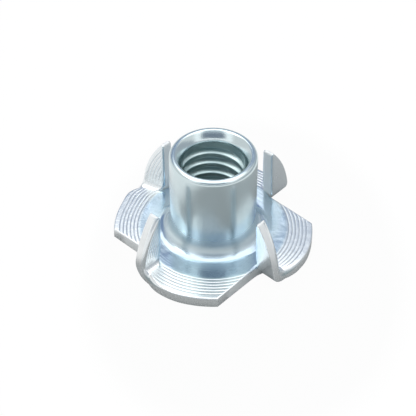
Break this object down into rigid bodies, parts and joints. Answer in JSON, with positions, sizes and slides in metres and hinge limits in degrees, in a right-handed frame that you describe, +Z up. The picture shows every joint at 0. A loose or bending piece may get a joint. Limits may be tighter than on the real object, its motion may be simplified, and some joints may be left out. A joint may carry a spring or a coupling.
{
  "type": "four-prong tee nut",
  "caption": "Pronged tee nut: round slit flange with folded-up prongs and a drawn, threaded barrel, for a bolted joint in timber.",
  "frame": {"origin": "centre of the flange's underside, on the barrel's axis", "axes": "+Z up the barrel from the flange; +X along one prong, in the plane that its ringed face stands just behind"},
  "size_m": [0.022, 0.022, 0.0118],
  "materials": {
    "zinc_plate": "bright zinc electroplate"
  },
  "bodies": {
    "root": {"tee_nut": "zinc_plate"}
  },
  "joints": []
}
